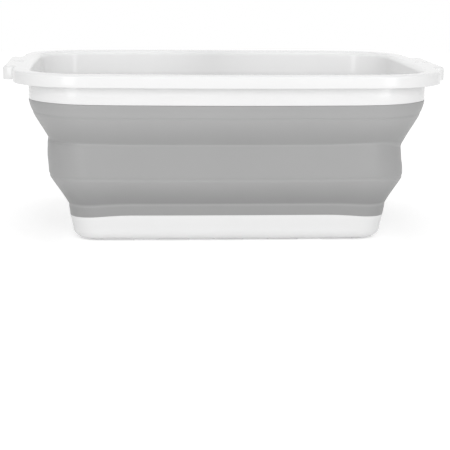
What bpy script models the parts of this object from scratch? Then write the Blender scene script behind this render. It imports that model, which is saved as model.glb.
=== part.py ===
"""Collapsible camp washbasin: a white rim and a white base joined by a grey wall that folds flat.

The wall is one soft moulding. Its five zones are separate solids here, because two of them are
cones that turn inside out when the rim is pushed down, and the other three keep their shape.
Metres, +Z up. The origin is on the table under the basin's centre, and +X runs along its length.
"""
import math
from dataclasses import dataclass, replace

import bmesh
import bpy
from mathutils import Vector

# Heights, stacked from the table up
FOOT_HEIGHT = 0.0010
BASE_HEIGHT = 0.0223
LOWER_BAND_HEIGHT = 0.0093
LOWER_CONE_HEIGHT = 0.0236
MIDDLE_BAND_HEIGHT = 0.0285
UPPER_CONE_HEIGHT = 0.0240
UPPER_BAND_HEIGHT = 0.0111
COLLAR_HEIGHT = 0.0257

# Plan of the collar, which every wall zone steps in from; the short ends step in less by the gain
COLLAR_HALF_LENGTH = 0.1686
COLLAR_HALF_WIDTH = 0.1275
COLLAR_CORNER = 0.0460
COLLAR_LONG_BOW = 0.0045
COLLAR_SHORT_BOW = 0.0020
BASE_CORNER = 0.0240
BASE_LONG_BOW = 0.0012
BASE_SHORT_BOW = 0.0010
BASE_END_GAIN = 0.0032

# How far each wall zone steps in, measured on its outer face from top to bottom
UPPER_BAND_RUN = 0.0032
UPPER_CONE_RUN = 0.0146
MIDDLE_BAND_FLARE = 0.0012
LOWER_CONE_RUN = 0.0180
LOWER_BAND_RUN = 0.0014
BASE_WALL_RUN = 0.0031

# Wall thicknesses
COLLAR_WALL = 0.0025
SKIRT_WALL = 0.0022
FLANGE_PLATE = 0.0022
BAND_WALL = 0.0026
CONE_WALL = 0.0018
HINGE_WALL = 0.0012
BASE_WALL = 0.0026
FLOOR_PLATE = 0.0028

# Rim
FLANGE_OVERHANG = 0.0129
SKIRT_DEPTH = 0.0103
FLANGE_EDGE_RADIUS = 0.0024
LIP_RADIUS = 0.0030
UNDER_FILLET = 0.0012

# Ears at the short ends, each with a hang hole and a finger space beneath
EAR_STEP = 0.0085
EAR_HALF_WIDTH = 0.0520
EAR_CORNER = 0.0050
EAR_FILLET = 0.0025
EAR_SKIRT_DEPTH = 0.0115
HANG_HOLE_INSET = 0.0100
HANG_HOLE_LENGTH = 0.0110
HANG_HOLE_WIDTH = 0.0076

# Tongue and groove between each hard moulding and the wall
TONGUE_DEPTH = 0.0036
TONGUE_WALL = 0.0009
LIP_WALL = 0.0008
SEAT_GAP = 0.0003

# Base
BASE_EDGE_RADIUS = 0.0095
FOOT_WIDTH = 0.0030
FOOT_LENGTH = 0.0233
FOOT_EDGE_INSET = 0.0115
FOOT_ROOT = 0.0008
FOOT_RING_CORNER = 0.0170

# How the curved wall zones and hinges are shaped
HINGE_REACH = 0.0024
BAND_SHOULDER_SHARES = ((0.10, 0.36), (0.42, 0.74))
MIDDLE_SHOULDER_SHARES = ((0.66, 0.30), (1.00, 0.62), (0.86, 0.84))
LOWER_CONE_SHARES = ((0.19, 0.30),)
LOWER_BAND_SHARES = ((0.55, 0.42),)

# Steps that round shapes are drawn in
HALF_SHORT_STEPS = 2
HALF_LONG_STEPS = 3
CORNER_STEPS = 8
EDGE_STEPS = 3
HOLE_STEPS = 8
FOOT_STEPS = 6
HEIGHT_DIGITS = 6

COLOURS = {"white plastic": (0.90, 0.90, 0.90), "grey rubber": (0.34, 0.34, 0.34)}
ROUGHNESS = {"white plastic": 0.22, "grey rubber": 0.55}
SMOOTH_ANGLE = math.radians(32)

BASE_TOP = FOOT_HEIGHT + BASE_HEIGHT
LOWER_CREASE = BASE_TOP + LOWER_BAND_HEIGHT
LOWER_HINGE = LOWER_CREASE + LOWER_CONE_HEIGHT
UPPER_CREASE = LOWER_HINGE + MIDDLE_BAND_HEIGHT
UPPER_HINGE = UPPER_CREASE + UPPER_CONE_HEIGHT
COLLAR_BOTTOM = UPPER_HINGE + UPPER_BAND_HEIGHT
RIM_TOP = COLLAR_BOTTOM + COLLAR_HEIGHT

CREASE_STEP = UPPER_BAND_RUN + UPPER_CONE_RUN
LOWER_HINGE_STEP = CREASE_STEP - MIDDLE_BAND_FLARE
LOWER_CREASE_STEP = LOWER_HINGE_STEP + LOWER_CONE_RUN
BASE_STEP = LOWER_CREASE_STEP + LOWER_BAND_RUN
EAR_TIP = COLLAR_HALF_LENGTH + FLANGE_OVERHANG + EAR_STEP
JOINT_WALL = TONGUE_WALL + 2 * (SEAT_GAP + LIP_WALL)


@dataclass(frozen=True)
class Outline:
    """A rounded rectangle in plan whose sides bow out as arcs, tangent to its corner arcs."""

    half_length: float
    half_width: float
    corner: float
    long_side_radius: float
    short_side_radius: float

    def inset(self, step):
        """The parallel outline that lies this far inside, or outside for a negative step."""
        return Outline(self.half_length - step, self.half_width - step, self.corner - step,
                       self.long_side_radius - step, self.short_side_radius - step)

    def corner_centre(self):
        """Centre of the +X +Y corner arc, which touches both side arcs from inside."""
        long_centre = Vector((0, self.half_width - self.long_side_radius))
        short_centre = Vector((self.half_length - self.short_side_radius, 0))
        long_reach = self.long_side_radius - self.corner
        short_reach = self.short_side_radius - self.corner
        between = short_centre - long_centre
        along = (long_reach ** 2 - short_reach ** 2 + between.length_squared) / (2 * between.length)
        across = math.sqrt(long_reach ** 2 - along ** 2)
        way = between.normalized()
        return long_centre + way * along + Vector((way.y, -way.x)) * across

    def short_centre(self):
        """Centre of the +X side's arc."""
        return Vector((self.half_length - self.short_side_radius, 0))

    def quarter(self, start=0.0):
        """Edge points from an angle on the +X side's arc round to the middle of the +Y side."""
        centre = self.corner_centre()
        short_centre = self.short_centre()
        long_centre = Vector((0, self.half_width - self.long_side_radius))
        first = math.atan2((centre - short_centre).y, (centre - short_centre).x)
        last = math.atan2((centre - long_centre).y, (centre - long_centre).x)
        points = edge_arc(short_centre, self.short_side_radius, start, first, HALF_SHORT_STEPS)
        points += edge_arc(centre, self.corner, first, last, CORNER_STEPS)[1:]
        points += edge_arc(long_centre, self.long_side_radius, last, math.pi / 2, HALF_LONG_STEPS)[1:]
        return points

    def points(self):
        """The whole loop, counter-clockwise, with as many points as any other outline has."""
        return [point.place for point in whole(self.quarter())]


@dataclass(frozen=True)
class EdgePoint:
    """A point on an edge in plan, with its outward normal and its share of the ear's depth."""

    place: Vector
    normal: Vector
    ear: float = 0.0

    def flipped(self, x, y):
        """The same point mirrored in an axis."""
        return EdgePoint(Vector((self.place.x * x, self.place.y * y)),
                         Vector((self.normal.x * x, self.normal.y * y)), self.ear)

    def inset(self, step):
        """The point of the parallel edge that lies this far inside."""
        return self.place - step * self.normal


def edge_arc(centre, radius, start, stop, steps, ears=(0.0, 0.0), hollow=False):
    """Edge points on an arc, ends included; a hollow arc has its centre outside the edge."""
    points = []
    for step, place in enumerate(arc(centre, radius, start, stop, steps)):
        normal = (place - centre).normalized() * (-1 if hollow else 1)
        points.append(EdgePoint(place, normal, mix(*ears, step / steps)))
    return points


def whole(quarter):
    """Closed loop of edge points from its +X +Y quarter, whose ends lie on the two axes."""
    half = quarter + [point.flipped(-1, 1) for point in reversed(quarter[:-1])]
    return half + [point.flipped(1, -1) for point in reversed(half[1:-1])]


def arc(centre, radius, start, stop, steps):
    """Points on an arc, ends included."""
    turns = [start + (stop - start) * step / steps for step in range(steps + 1)]
    return [centre + radius * Vector((math.cos(turn), math.sin(turn))) for turn in turns]


def bow_radius(half_chord, bow):
    """Radius of the arc that bows out this far in the middle of its chord."""
    return (half_chord ** 2 + bow ** 2) / (2 * bow)


def mix(start, stop, share):
    """Value at a share of the way between two."""
    return start + (stop - start) * share


def wall_outline(step):
    """Outline of the wall's outer face where it has stepped in this far from the collar.

    The corners tighten and the bows flatten on the way down to the base, and stay parallel there.
    """
    share = min(step / BASE_STEP, 1)
    inside = min(step, BASE_STEP)
    half_length = COLLAR_HALF_LENGTH - inside + BASE_END_GAIN * share
    half_width = COLLAR_HALF_WIDTH - inside
    corner = mix(COLLAR_CORNER, BASE_CORNER, share)
    long_bow = mix(COLLAR_LONG_BOW, BASE_LONG_BOW, share)
    short_bow = mix(COLLAR_SHORT_BOW, BASE_SHORT_BOW, share)
    outline = Outline(half_length, half_width, corner, bow_radius(half_length - corner, long_bow),
                      bow_radius(half_width - corner, short_bow))
    return outline.inset(step - inside)


def ring(step, depth, height):
    """A section point swept round the basin: a wall step, a depth into the wall and a height."""
    outline = wall_outline(step).inset(depth)
    return [Vector((point.x, point.y, height)) for point in outline.points()]


@dataclass(frozen=True)
class WallPoint:
    """A point on the wall's section: its outer face's step in, its height and its thickness."""

    step: float
    height: float
    wall: float


def shaped(start, stop, shares, wall):
    """Wall points between two stations, at shares of the step and of the height between them."""
    return [WallPoint(mix(start.step, stop.step, step), mix(start.height, stop.height, height), wall)
            for step, height in shares]


def thinned(start, stop, wall):
    """A full-thickness wall point close to the hinge at start, on the way to stop."""
    reach = HINGE_REACH / math.hypot(stop.step - start.step, stop.height - start.height)
    return WallPoint(mix(start.step, stop.step, reach), mix(start.height, stop.height, reach), wall)


def zone(start, stop, shares, wall):
    """One wall zone from hinge to hinge, thinned at the ends that are hinges."""
    middle = shaped(start, stop, shares, wall)
    points = [start]
    if start.wall == HINGE_WALL:
        points.append(thinned(start, (middle + [stop])[0], wall))
    points += middle
    if stop.wall == HINGE_WALL:
        points.append(thinned(stop, points[-1], wall))
    return points + [stop]


STATIONS = (
    WallPoint(0, COLLAR_BOTTOM, JOINT_WALL),
    WallPoint(UPPER_BAND_RUN, UPPER_HINGE, HINGE_WALL),
    WallPoint(CREASE_STEP, UPPER_CREASE, HINGE_WALL),
    WallPoint(LOWER_HINGE_STEP, LOWER_HINGE, HINGE_WALL),
    WallPoint(LOWER_CREASE_STEP, LOWER_CREASE, HINGE_WALL),
    WallPoint(BASE_STEP, BASE_TOP, JOINT_WALL),
)
ZONES = {
    "wall_upper_band": zone(STATIONS[0], STATIONS[1], BAND_SHOULDER_SHARES, BAND_WALL),
    "upper_fold": zone(STATIONS[1], STATIONS[2], (), CONE_WALL),
    "wall_middle_band": zone(STATIONS[2], STATIONS[3], MIDDLE_SHOULDER_SHARES, BAND_WALL),
    "lower_fold": zone(STATIONS[3], STATIONS[4], LOWER_CONE_SHARES, CONE_WALL),
    "wall_lower_band": zone(STATIONS[4], STATIONS[5], LOWER_BAND_SHARES, BAND_WALL),
}


def way(start, stop):
    """Direction from one wall point to the next in the plane of the section."""
    return Vector((stop.step - start.step, stop.height - start.height)).normalized()


def inward(direction):
    """Normal of a downward stretch that points into the basin."""
    return Vector((-direction.y, direction.x))


def zone_section(name):
    """Outer and inner rings of one zone, cut back at each hinge by half the seat gap.

    The inner side lies a wall thickness in, along the mitre of the two stretches at each point.
    Both zones at a hinge use the same mitre, so their end faces are parallel.
    """
    names = list(ZONES)
    index = names.index(name)
    points = ZONES[name]
    above = ZONES[names[index - 1]][-2] if index > 0 else None
    below = ZONES[names[index + 1]][1] if index < len(names) - 1 else None
    chain = [above] + points + [below]
    outer = []
    inner = []
    for place, point in enumerate(points):
        before = way(chain[place], point) if chain[place] else None
        after = way(point, chain[place + 2]) if chain[place + 2] else None
        before = before or after
        after = after or before
        mitre = (inward(before) + inward(after)).normalized()
        depth = point.wall / mitre.dot(inward(after))
        back = Vector((0, 0))
        if place == 0 and chain[0]:
            back = after * (SEAT_GAP / 2 / mitre.dot(inward(after)))
        if place == len(points) - 1 and chain[-1]:
            back = -before * (SEAT_GAP / 2 / mitre.dot(inward(before)))
        outer.append((point.step + back.x, 0, point.height + back.y))
        inner.append((point.step + back.x, mitre.x * depth, point.height + back.y + mitre.y * depth))
    return outer, inner


def groove(step, mouth, floor):
    """Section points of the groove that takes a hard moulding's tongue, outer side first."""
    near = LIP_WALL
    far = JOINT_WALL - LIP_WALL
    return [(step, near, mouth), (step, near, floor), (step, far, floor), (step, far, mouth)]


def tongue(step, root, tip):
    """Section points of the tongue that stands in that groove, outer side first."""
    near = LIP_WALL + SEAT_GAP
    far = near + TONGUE_WALL
    return [(step, near, root), (step, near, tip), (step, far, tip), (step, far, root)]


def upper_band_section():
    """Upper band, whose top edge takes the collar's tongue."""
    outer, inner = zone_section("wall_upper_band")
    mouth = COLLAR_BOTTOM - SEAT_GAP
    floor = COLLAR_BOTTOM - TONGUE_DEPTH - SEAT_GAP
    outer[0] = (0, 0, mouth)
    inner[0] = (0, JOINT_WALL, mouth)
    return groove(0, mouth, floor)[::-1] + outer + inner[::-1]


def lower_band_section():
    """Lower band, whose bottom edge takes the base's tongue."""
    outer, inner = zone_section("wall_lower_band")
    mouth = BASE_TOP + SEAT_GAP
    floor = BASE_TOP + TONGUE_DEPTH + SEAT_GAP
    outer[-1] = (BASE_STEP, 0, mouth)
    inner[-1] = (BASE_STEP, JOINT_WALL, mouth)
    return outer + groove(BASE_STEP, mouth, floor) + inner[::-1]


def plain_section(name):
    """A zone with a hinge at both ends."""
    outer, inner = zone_section(name)
    return outer + inner[::-1]


def section_arc(depth, height, radius, start, stop):
    """Arc in the section of a moulding, as depths and heights at a wall step of zero."""
    turns = arc(Vector((depth, height)), radius, math.radians(start), math.radians(stop), EDGE_STEPS)
    return [(0, point.x, point.y) for point in turns]


def rim_section():
    """Rim inside its flange: rounded inner lip, collar, the tongue at its foot and the under-fillet."""
    under = RIM_TOP - FLANGE_PLATE
    points = section_arc(COLLAR_WALL - LIP_RADIUS, RIM_TOP - LIP_RADIUS, LIP_RADIUS, 90, 0)
    points.append((0, COLLAR_WALL, COLLAR_BOTTOM))
    points += tongue(0, COLLAR_BOTTOM, COLLAR_BOTTOM - TONGUE_DEPTH)[::-1]
    points.append((0, 0, COLLAR_BOTTOM))
    points += section_arc(-UNDER_FILLET, under - UNDER_FILLET, UNDER_FILLET, 0, 90)
    return points


def base_edge(depth, radius, height):
    """Rounded bottom edge of the tub, from its wall round to its underside or floor."""
    turns = arc(Vector((depth + radius, height + radius)), radius, math.pi, math.pi * 3 / 2, EDGE_STEPS + 2)
    return [(BASE_STEP, point.x, point.y) for point in turns]


def base_sections():
    """Tub: its inner side from the floor up, then its rim, tongue and outer side down."""
    outer = base_edge(BASE_WALL_RUN, BASE_EDGE_RADIUS, FOOT_HEIGHT)
    inner = base_edge(BASE_WALL_RUN + BASE_WALL, BASE_EDGE_RADIUS - BASE_WALL, FOOT_HEIGHT + FLOOR_PLATE)
    rim = tongue(BASE_STEP, BASE_TOP, BASE_TOP + TONGUE_DEPTH)
    return inner[::-1] + [(BASE_STEP, JOINT_WALL, BASE_TOP)] + rim[::-1] + [(BASE_STEP, 0, BASE_TOP)] + outer


def add_loop(mesh, points):
    """New points of a loop, their heights rounded so that faces meant to lie level do."""
    return [mesh.verts.new((x, y, round(z, HEIGHT_DIGITS))) for x, y, z in points]


def skin(mesh, loops):
    """Joins each loop of points to the next with one face per step."""
    for first, second in zip(loops, loops[1:]):
        for place in range(len(first)):
            mesh.faces.new((first[place - 1], first[place], second[place], second[place - 1]))


def fill(mesh, loops):
    """Fills the level face between an outer loop and the loops that lie inside it."""
    edges = [mesh.edges.get((loop[place - 1], loop[place])) for loop in loops for place in range(len(loop))]
    bmesh.ops.triangle_fill(mesh, use_beauty=True, edges=edges, normal=(0, 0, 1))


def loft(rings, closed):
    """Skins rings of points in turn; an open row of rings gets a flat cap at both ends."""
    mesh = bmesh.new()
    loops = [add_loop(mesh, points) for points in rings]
    skin(mesh, loops + loops[:1] if closed else loops)
    if not closed:
        mesh.faces.new(loops[0])
        mesh.faces.new(loops[-1])
    bmesh.ops.recalc_face_normals(mesh, faces=mesh.faces)
    return mesh


def swept(section, closed):
    """A section's points swept round the basin as rings and skinned."""
    return loft([ring(*place) for place in section], closed)


def prism(plan, bottom, top):
    """Extrudes a plan outline straight up."""
    return loft([[(point.x, point.y, height) for point in plan] for height in (bottom, top)], closed=False)


def material(name):
    """The named material, made once."""
    found = bpy.data.materials.get(name)
    if found:
        return found
    made = bpy.data.materials.new(name)
    made.use_nodes = True
    shader = made.node_tree.nodes["Principled BSDF"]
    shader.inputs["Base Color"].default_value = (*COLOURS[name], 1)
    shader.inputs["Roughness"].default_value = ROUGHNESS[name]
    shader.inputs["Metallic"].default_value = 0
    made.diffuse_color = (*COLOURS[name], 1)
    return made


def add_object(name, mesh, finish):
    """Turns a bmesh into a named object with smooth faces and one material."""
    data = bpy.data.meshes.new(name)
    mesh.to_mesh(data)
    mesh.free()
    data.shade_smooth()
    data.set_sharp_from_angle(angle=SMOOTH_ANGLE)
    data.materials.append(material(finish))
    made = bpy.data.objects.new(name, data)
    bpy.context.scene.collection.objects.link(made)
    return made


def add_tool(name, mesh, finish):
    """An object that only shapes another one."""
    made = add_object(name, mesh, finish)
    made.hide_render = True
    made.display_type = "WIRE"
    return made


def combine(target, tool, operation):
    """Adds a live Boolean to the target."""
    boolean = target.modifiers.new(f"{operation.lower()} {tool.name}", "BOOLEAN")
    boolean.operation = operation
    boolean.object = tool
    boolean.solver = "EXACT"


def rim_edge():
    """Outer edge of the rim in plan: the flange with an ear at the middle of each short side."""
    flange = wall_outline(0).inset(-FLANGE_OVERHANG)
    half = min(EAR_HALF_WIDTH, flange.corner_centre().y - EAR_FILLET)
    round_centre = flange.short_centre()
    reach = flange.short_side_radius + EAR_FILLET
    rise = half + EAR_FILLET
    fillet = Vector((round_centre.x + math.sqrt(reach ** 2 - rise ** 2), rise))
    turn = math.atan2(rise, fillet.x - round_centre.x)
    corner = Vector((EAR_TIP - EAR_CORNER, half - EAR_CORNER))
    points = [EdgePoint(Vector((EAR_TIP, 0)), Vector((1, 0)), 1.0)]
    points += edge_arc(corner, EAR_CORNER, 0, math.pi / 2, EDGE_STEPS, ears=(1.0, 1.0))
    points += edge_arc(fillet, EAR_FILLET, -math.pi / 2, turn - math.pi, EDGE_STEPS, ears=(1.0, 0.0), hollow=True)
    return whole(points + flange.quarter(turn)[1:])


def edge_loop(step, height=None):
    """Points parallel to the rim's outer edge, at a height or else along the skirt's bottom edge."""
    points = []
    for point in rim_edge():
        place = point.inset(step)
        bottom = RIM_TOP - mix(SKIRT_DEPTH, EAR_SKIRT_DEPTH, point.ear)
        points.append((place.x, place.y, bottom if height is None else height))
    return points


def hang_hole(side):
    """Plan of the slot with round ends through one ear's plate."""
    radius = HANG_HOLE_WIDTH / 2
    offset = HANG_HOLE_LENGTH / 2 - radius
    centre = side * (EAR_TIP - HANG_HOLE_INSET)
    points = arc(Vector((centre + offset, 0)), radius, -math.pi / 2, math.pi / 2, HOLE_STEPS)
    return points + arc(Vector((centre - offset, 0)), radius, math.pi / 2, math.pi * 3 / 2, HOLE_STEPS)


def rim_frame():
    """White rim: collar, flange with its skirt, and two ears open underneath and pierced to hang it by."""
    mesh = bmesh.new()
    under = RIM_TOP - FLANGE_PLATE
    rounded = arc(Vector((0, 0)), FLANGE_EDGE_RADIUS, 0, math.pi / 2, EDGE_STEPS)
    outside = [edge_loop(0)] + [edge_loop(FLANGE_EDGE_RADIUS - point.x, RIM_TOP - FLANGE_EDGE_RADIUS + point.y)
                                for point in rounded]
    beneath = [edge_loop(SKIRT_WALL, under), edge_loop(SKIRT_WALL)]
    outer = [add_loop(mesh, points) for points in outside]
    hollow = [add_loop(mesh, points) for points in beneath]
    inner = [add_loop(mesh, ring(*place)) for place in rim_section()]
    holes = [[add_loop(mesh, [(point.x, point.y, height) for point in hang_hole(side)])
              for height in (RIM_TOP, under)] for side in (-1, 1)]
    for loops in (outer, inner, hollow, [hollow[-1], outer[0]], *holes):
        skin(mesh, loops)
    fill(mesh, [outer[-1], inner[0], *(hole[0] for hole in holes)])
    fill(mesh, [hollow[0], inner[-1], *(hole[-1] for hole in holes)])
    bmesh.ops.recalc_face_normals(mesh, faces=mesh.faces)
    return add_object("rim_frame", mesh, "white plastic")


def foot_bar(points, normals):
    """One raised foot along a run of plan points, sunk a little into the tub to fuse with it."""
    near = [point + normal * FOOT_WIDTH / 2 for point, normal in zip(points, normals)]
    far = [point - normal * FOOT_WIDTH / 2 for point, normal in zip(points, normals)]
    return prism(near + far[::-1], 0, FOOT_HEIGHT + FOOT_ROOT)


def foot_places(outline):
    """Plan points and outward normals of each foot: the corners, then bars along every side."""
    centre = outline.corner_centre()
    along_x = []
    along_y = []
    pitch = 2 * FOOT_LENGTH
    place = FOOT_LENGTH
    while place + FOOT_LENGTH / 2 < centre.x - FOOT_LENGTH / 2:
        along_x.append(place)
        place += pitch
    place = FOOT_LENGTH
    while place + FOOT_LENGTH / 2 < centre.y - FOOT_LENGTH / 2:
        along_y.append(place)
        place += pitch
    quarter = []
    half_turn = FOOT_LENGTH / outline.corner / 2
    middle = math.pi / 4
    points = arc(centre, outline.corner, middle - half_turn, middle + half_turn, FOOT_STEPS)
    quarter.append((points, [(point - centre).normalized() for point in points]))
    for place in along_x:
        ends = [Vector((place - FOOT_LENGTH / 2, outline.half_width)),
                Vector((place + FOOT_LENGTH / 2, outline.half_width))]
        quarter.append((ends, [Vector((0, 1))] * 2))
    for place in along_y:
        ends = [Vector((outline.half_length, place - FOOT_LENGTH / 2)),
                Vector((outline.half_length, place + FOOT_LENGTH / 2))]
        quarter.append((ends, [Vector((1, 0))] * 2))
    return [([Vector((point.x * x, point.y * y)) for point in points],
             [Vector((normal.x * x, normal.y * y)) for normal in normals])
            for points, normals in quarter for x in (1, -1) for y in (1, -1)]


def base_tub():
    """White base with a rounded bottom edge, fused to a broken ring of low feet."""
    tub = add_object("base_tub", swept(base_sections(), closed=False), "white plastic")
    outline = replace(wall_outline(BASE_STEP).inset(FOOT_EDGE_INSET + FOOT_WIDTH / 2), corner=FOOT_RING_CORNER)
    feet = bmesh.new()
    for points, normals in foot_places(outline):
        bar = foot_bar(points, normals)
        data = bpy.data.meshes.new("foot bar")
        bar.to_mesh(data)
        bar.free()
        feet.from_mesh(data)
        bpy.data.meshes.remove(data)
    combine(tub, add_tool("foot_ring", feet, "white plastic"), "UNION")
    return tub


def wall_zones():
    """The five zones of the soft wall."""
    sections = {
        "wall_upper_band": upper_band_section(),
        "upper_fold": plain_section("upper_fold"),
        "wall_middle_band": plain_section("wall_middle_band"),
        "lower_fold": plain_section("lower_fold"),
        "wall_lower_band": lower_band_section(),
    }
    return {name: add_object(name, swept(section, closed=True), "grey rubber")
            for name, section in sections.items()}


def slide_empty(name, height, parent):
    """Empty on the vertical axis that a fold travels along, at the crease it starts from."""
    empty = bpy.data.objects.new(name, None)
    bpy.context.scene.collection.objects.link(empty)
    empty.empty_display_size = COLLAR_CORNER
    empty.parent = parent
    empty.location.z = height - (parent.location.z if parent else 0)
    return empty


def hang_on(empty, height, pieces):
    """Parents pieces to an empty and keeps them where they were modelled."""
    for piece in pieces:
        piece.parent = empty
        piece.location.z = -height


def build():
    """Models the whole basin, opened out and standing on its feet."""
    for old in list(bpy.data.objects):
        bpy.data.objects.remove(old, do_unlink=True)
    rim = rim_frame()
    base_tub()
    zones = wall_zones()
    middle_slide = slide_empty("middle_ring_slide", LOWER_CREASE, None)
    rim_slide = slide_empty("rim_slide", UPPER_CREASE, middle_slide)
    hang_on(middle_slide, LOWER_CREASE, [zones["wall_middle_band"], zones["upper_fold"]])
    hang_on(rim_slide, UPPER_CREASE, [rim, zones["wall_upper_band"]])


build()
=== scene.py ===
"""Looks of the collapsible camp washbasin: a glossy white rim and base and a satin grey folding wall.

Every piece is a closed moulding grown ring by ring from one edge, in metres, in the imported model's frame:
+X runs along the basin, +Z up, and the origin lies on the table under its centre.
"""
import logging
import math
from collections.abc import Sequence
from dataclasses import astuple, dataclass, replace
from enum import Enum

import bmesh
import bpy
from mathutils import Matrix, Vector
from mathutils.geometry import interpolate_bezier


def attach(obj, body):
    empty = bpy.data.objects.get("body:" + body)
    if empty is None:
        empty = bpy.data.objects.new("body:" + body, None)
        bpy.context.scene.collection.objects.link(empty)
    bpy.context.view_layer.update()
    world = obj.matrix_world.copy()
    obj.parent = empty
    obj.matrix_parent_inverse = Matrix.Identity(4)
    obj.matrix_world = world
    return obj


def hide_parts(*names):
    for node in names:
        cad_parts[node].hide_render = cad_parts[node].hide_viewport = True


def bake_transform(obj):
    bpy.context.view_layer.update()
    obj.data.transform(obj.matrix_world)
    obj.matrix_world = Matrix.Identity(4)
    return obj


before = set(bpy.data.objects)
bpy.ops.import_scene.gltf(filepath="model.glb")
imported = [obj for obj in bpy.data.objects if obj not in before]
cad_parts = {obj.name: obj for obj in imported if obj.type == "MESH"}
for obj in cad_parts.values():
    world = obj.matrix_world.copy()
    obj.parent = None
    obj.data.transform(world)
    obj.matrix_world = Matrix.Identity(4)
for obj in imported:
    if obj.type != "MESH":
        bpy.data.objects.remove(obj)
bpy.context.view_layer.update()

PHOTO_PIXELS = 450
SENSOR_MM = 36.0
MM = 0.001

# Edges that turn more than this are drawn sharp
SHARP_TURN = math.radians(40)

# Shares of a tall plain face at which two more rings keep its quads short
SUPPORTS = (0.35, 0.7)

logging.basicConfig(level=logging.INFO, format="%(message)s")
LOG = logging.getLogger("washbasin")


class Body(Enum):
    """The bodies that pieces ride on."""

    BASE = "base"
    MIDDLE_RING = "middle_ring"
    RIM = "rim"


class Slot(Enum):
    """The record's material slots."""

    PLASTIC = "white_plastic"
    RUBBER = "grey_rubber"


class Mark(Enum):
    """The wall's attributes, which its finish reads."""

    BEND = "bend"
    # Shade painted into the rubber's colour, most towards the foot of each cone
    GRIME = "painted_shade"


def mix(start: float, stop: float, share: float) -> float:
    """Returns the value at a share of the way between two."""
    return start + (stop - start) * share


def smooth(share: float) -> float:
    """Returns an eased share, level at both ends."""
    share = min(max(share, 0.0), 1.0)
    return share * share * (3 - 2 * share)


def linear(colour: str) -> tuple[float, float, float, float]:
    """Turns an sRGB hex colour into Blender's linear RGBA.

    Args:
        colour: Six hex digits.

    Returns:
        Linear red, green, blue and an alpha of one.
    """
    parts = [int(colour[place:place + 2], 16) / 255 for place in (0, 2, 4)]
    red, green, blue = (part / 12.92 if part <= 0.04045 else ((part + 0.055) / 1.055) ** 2.4
                        for part in parts)
    return red, green, blue, 1.0


@dataclass(frozen=True)
class EdgePoint:
    """A point of an edge seen from above.

    Attributes:
        place: Where it is.
        normal: Its outward direction.
        ear: Its share of the ears' deeper skirt.
    """

    place: Vector
    normal: Vector
    ear: float = 0.0

    def flipped(self, x: float, y: float) -> "EdgePoint":
        """Returns the point mirrored in an axis."""
        return EdgePoint(Vector((self.place.x * x, self.place.y * y)),
                         Vector((self.normal.x * x, self.normal.y * y)), self.ear)

    def at(self, depth: float, height: float) -> Vector:
        """Returns the point of the parallel edge this deep inside, at a height."""
        flat = self.place - depth * self.normal
        return Vector((flat.x, flat.y, height))


def edge_arc(centre: Vector, radius: float, start: float, stop: float, steps: int,
             ears: tuple[float, float] = (0.0, 0.0), hollow: bool = False) -> list[EdgePoint]:
    """Makes edge points on an arc, ends included.

    Args:
        centre: Centre of the arc.
        radius: Its radius.
        start: Angle of its first point.
        stop: Angle of its last point.
        steps: How many chords it is drawn in.
        ears: Share of the ears at both ends.
        hollow: Whether the centre lies outside the edge.

    Returns:
        One point more than there are steps.
    """
    points = []
    for step in range(steps + 1):
        turn = mix(start, stop, step / steps)
        ray = Vector((math.cos(turn), math.sin(turn)))
        points.append(EdgePoint(centre + radius * ray, -ray if hollow else ray,
                                mix(*ears, smooth(step / steps))))
    return points


def whole(quarter: Sequence[EdgePoint]) -> list[EdgePoint]:
    """Closes an edge from its +X +Y quarter, whose ends lie on the axes."""
    half = list(quarter) + [point.flipped(-1, 1) for point in reversed(quarter[:-1])]
    return half + [point.flipped(1, -1) for point in reversed(half[1:-1])]


@dataclass(frozen=True)
class Outline:
    """A rounded rectangle seen from above, whose sides bow out as arcs tangent to its corners.

    Attributes:
        half_length: Half its length, bows included.
        half_width: Half its width, bows included.
        corner: Radius of its corners.
        long_radius: Radius of the arcs along its long sides.
        short_radius: Radius of the arcs along its short sides.
        short_steps: How many chords half a short side is drawn in.
        corner_steps: How many chords a corner is drawn in.
        long_steps: How many chords half a long side is drawn in.
    """

    half_length: float
    half_width: float
    corner: float
    long_radius: float
    short_radius: float
    short_steps: int = 9
    corner_steps: int = 22
    long_steps: int = 12

    def inset(self, step: float) -> "Outline":
        """Draws a parallel outline.

        Args:
            step: How far inside it lies.

        Returns:
            The outline.
        """
        return replace(self, half_length=self.half_length - step, half_width=self.half_width - step,
                       corner=self.corner - step, long_radius=self.long_radius - step,
                       short_radius=self.short_radius - step)

    def short_centre(self) -> Vector:
        """Returns the centre of the +X side's arc."""
        return Vector((self.half_length - self.short_radius, 0))

    def long_centre(self) -> Vector:
        """Returns the centre of the +Y side's arc."""
        return Vector((0, self.half_width - self.long_radius))

    def corner_centre(self) -> Vector:
        """Finds the +X +Y corner's arc, which touches both sides' arcs from inside.

        Returns:
            The centre of that arc.
        """
        long_reach = self.long_radius - self.corner
        short_reach = self.short_radius - self.corner
        between = self.short_centre() - self.long_centre()
        along = (long_reach ** 2 - short_reach ** 2 + between.length_squared) / (2 * between.length)
        across = math.sqrt(long_reach ** 2 - along ** 2)
        way = between.normalized()
        return self.long_centre() + way * along + Vector((way.y, -way.x)) * across

    def quarter(self, start: float = 0.0) -> list[EdgePoint]:
        """Makes edge points from an angle on the +X side's arc round to the middle of the +Y side.

        Args:
            start: Angle to start from, seen from that arc's centre.

        Returns:
            Points in order, the last of them on the Y axis.
        """
        centre = self.corner_centre()
        first = math.atan2(*(centre - self.short_centre()).yx)
        last = math.atan2(*(centre - self.long_centre()).yx)
        points = edge_arc(self.short_centre(), self.short_radius, start, first, self.short_steps)
        points += edge_arc(centre, self.corner, first, last, self.corner_steps)[1:]
        return points + edge_arc(self.long_centre(), self.long_radius, last, math.pi / 2, self.long_steps)[1:]


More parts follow.
